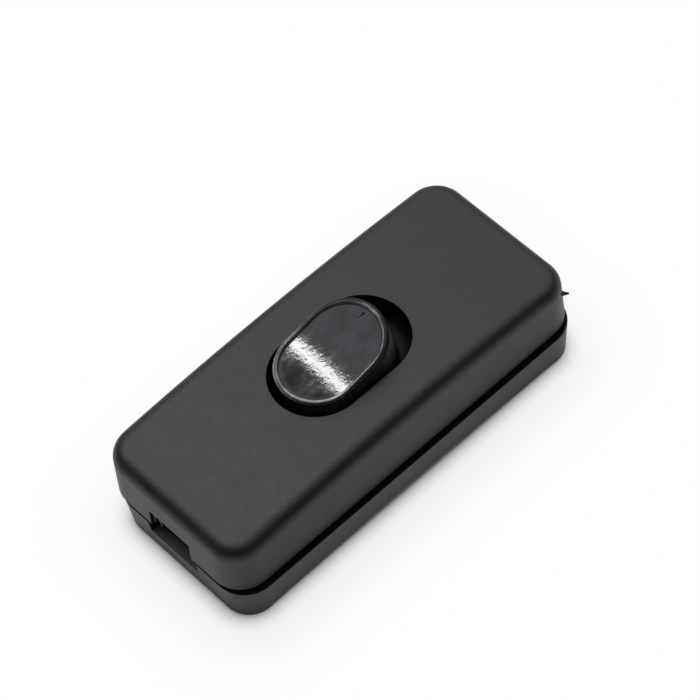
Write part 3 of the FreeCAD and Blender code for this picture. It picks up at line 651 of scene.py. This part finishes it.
def make_spring(finish):
    """Compression spring with closed ends, parented to the rocker's body."""
    closed, open_turns, closed_too = SPRING_TURNS
    wound = SPRING_TOP - SPRING_BOTTOM - SPRING_WIRE
    open_pitch = (wound - (closed + closed_too) * SPRING_CLOSED_PITCH) / open_turns
    shape = bmesh.new()
    bmesh.ops.create_circle(shape, segments=WIRE_SIDES, radius=SPRING_WIRE / 2)
    bmesh.ops.rotate(shape, cent=(0, 0, 0), matrix=Matrix.Rotation(math.pi / 2, 3, "X"), verts=shape.verts)
    start = (SPRING_RADIUS - SPRING_WIRE / 2, 0, SPRING_BOTTOM + SPRING_WIRE / 2)
    bmesh.ops.translate(shape, vec=start, verts=shape.verts)
    end = shape.verts[:] + shape.edges[:]
    for turns, pitch in zip(SPRING_TURNS, (SPRING_CLOSED_PITCH, open_pitch, SPRING_CLOSED_PITCH)):
        end = wind(shape, end, turns, SPRING_STEPS, pitch)
    bmesh.ops.remove_doubles(shape, verts=shape.verts, dist=WELD)
    close_ends(shape)
    pivot = Vector((ROCKER_X, 0, PIVOT_HEIGHT))
    lean = Matrix.Rotation(math.radians(ROCKER_TILT), 3, "Y")
    bmesh.ops.translate(shape, vec=(ROCKER_X, 0, 0), verts=shape.verts)
    bmesh.ops.rotate(shape, cent=pivot, matrix=lean, verts=shape.verts)
    for face in shape.faces:
        face.smooth = len(face.verts) == 4
    spring = new_piece("plunger_spring_wound", shape)
    spring.data.materials.append(finish)
    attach(spring, "rocker")
    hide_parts("plunger_spring")
    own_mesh(spring)


def make_rag(name, start, toward, root, tip, length, finish):
    """Pointed rag of plastic with a waist."""
    shape = bmesh.new()
    bmesh.ops.create_cone(shape, segments=RAG_SIDES, cap_ends=True, radius1=root, radius2=tip, depth=length)
    bmesh.ops.translate(shape, vec=(0, 0, length / 2), verts=shape.verts)
    slanted = [e for e in shape.edges if abs(e.verts[0].co.z - e.verts[1].co.z) > length / 2]
    bmesh.ops.subdivide_edges(shape, edges=slanted, cuts=3, use_grid_fill=True)
    for vert in shape.verts:
        vert.co.xy *= 1 - RAG_WAIST * math.sin(math.pi * vert.co.z / length)
    turn = Vector(toward).to_track_quat("Z", "Y").to_matrix()
    bmesh.ops.rotate(shape, cent=(0, 0, 0), matrix=turn, verts=shape.verts)
    bmesh.ops.translate(shape, vec=Vector(start) * MM, verts=shape.verts)
    rag = new_piece(name, shape)
    rag.data.materials.append(finish)
    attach(rag, "housing")


def make_floor():
    """Plain white table that keeps the soft shadow, and can be looked through from below."""
    mesh = bpy.data.meshes.new("floor")
    shape = bmesh.new()
    bmesh.ops.create_grid(shape, x_segments=1, y_segments=1, size=FLOOR_HALF)
    shape.to_mesh(mesh)
    shape.free()
    floor = bpy.data.objects.new("floor", mesh)
    bpy.context.scene.collection.objects.link(floor)
    finish, surface = solid_finish("white_table")
    x, y, z = finish.parts(finish.place())
    distance = finish.beyond(x - SHADOW_MIDDLE[0], y - SHADOW_MIDDLE[1], *SHELL_CORE) - CORNER_RADIUS
    clearing = distance.ramp(*SHADOW_NEAR) ** SHADOW_FADE
    clearing = clearing * distance.ramp(*SHADOW_FAR).between(1 - SHADOW_HAZE, 1.0)
    seen = finish.node("ShaderNodeLightPath", {}, {}, output="Is Camera Ray")
    mirrored = finish.node("ShaderNodeLightPath", {}, {}, output="Is Glossy Ray")
    shown = seen.largest(mirrored * FLOOR_MIRRORED) * clearing
    paper = finish.node("ShaderNodeBsdfDiffuse", {}, {"Color": grey(FLOOR_WHITE)})
    white = finish.node("ShaderNodeEmission", {}, {"Color": grey(1.0), "Strength": 1.0})
    lit = finish.node("ShaderNodeMixShader", {}, {0: shown, 1: paper, 2: white})
    below = finish.node("ShaderNodeNewGeometry", {}, {}, output="Backfacing")
    clear = finish.node("ShaderNodeBsdfTransparent", {}, {})
    mesh.materials.append(surface({0: below, 1: lit, 2: clear}, kind="ShaderNodeMixShader"))
    floor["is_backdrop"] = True


def make_room():
    """Pale ceiling over the table in a dim room. Seen straight on, it is all white."""
    world = bpy.data.worlds.new("studio")
    world.use_nodes = True
    bpy.context.scene.world = world
    finish = Finish(world.node_tree)
    direction = finish.node("ShaderNodeTexCoord", {}, {}, output="Generated")
    facing = finish.node("ShaderNodeVectorMath", {"operation": "DOT_PRODUCT"},
                         {0: direction, 1: CEILING_DIRECTION.normalized()}, output="Value")
    level = facing.ramp(*CEILING_EDGE).between(ROOM_DARK, CEILING_BRIGHT)
    seen = finish.node("ShaderNodeLightPath", {}, {}, output="Is Camera Ray")
    strength = level + seen * (1.0 - level)
    shader = finish.node("ShaderNodeBackground", {}, {"Color": grey(1.0), "Strength": strength})
    finish.node("ShaderNodeOutputWorld", {}, {"Surface": shader})


def make_tube():
    """Bright strip under the ceiling. Its image is the white band across the rocker."""
    lamp = bpy.data.lights.new("tube", "AREA")
    lamp.shape = "RECTANGLE"
    lamp.size, lamp.size_y = TUBE_SIZE
    lamp.energy = TUBE_RADIANCE * math.pi * TUBE_SIZE[0] * TUBE_SIZE[1]
    holder = bpy.data.objects.new("tube", lamp)
    holder.location = TUBE_CENTRE
    holder.rotation_euler.z = math.radians(TUBE_TURN)
    bpy.context.scene.collection.objects.link(holder)


def make_camera():
    camera = bpy.data.cameras.new("camera")
    camera.sensor_width = CAMERA_SENSOR
    camera.lens = CAMERA_LENS
    camera.shift_x = PHOTO_SHIFT[0] / PHOTO_WIDTH
    camera.shift_y = PHOTO_SHIFT[1] / PHOTO_WIDTH
    camera.clip_start = CAMERA_NEAR
    holder = bpy.data.objects.new("camera", camera)
    bpy.context.scene.collection.objects.link(holder)
    azimuth = math.radians(CAMERA_AZIMUTH)
    elevation = math.radians(CAMERA_ELEVATION)
    level = Vector((math.sin(azimuth), -math.cos(azimuth), 0)) * math.cos(elevation)
    back = level + Vector((0, 0, math.sin(elevation)))
    roll = Quaternion((0, 0, 1), math.radians(CAMERA_ROLL))
    holder.rotation_mode = "QUATERNION"
    holder.rotation_quaternion = (-back).to_track_quat("-Z", "Y") @ roll
    holder.location = CAMERA_AIM + back * CAMERA_DISTANCE
    bpy.context.scene.camera = holder


def write_sizes():
    """Works out the CAD box and the dressed model's box as lists; the result is not used."""
    boxes = {"cad": cad_box, "dressed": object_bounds()}
    {name: [list(corner) for corner in box] for name, box in boxes.items()}


bpy.context.scene.view_settings.view_transform = "Standard"
make_camera()
make_room()
make_tube()
make_floor()
finishes = make_finishes()
dress_nodes(finishes)
make_screws(finishes["screw_steel"])
make_spring(finishes["spring_steel"])
for name, shape in RAGS.items():
    make_rag(name, *shape, finishes["shell_black"])
write_sizes()
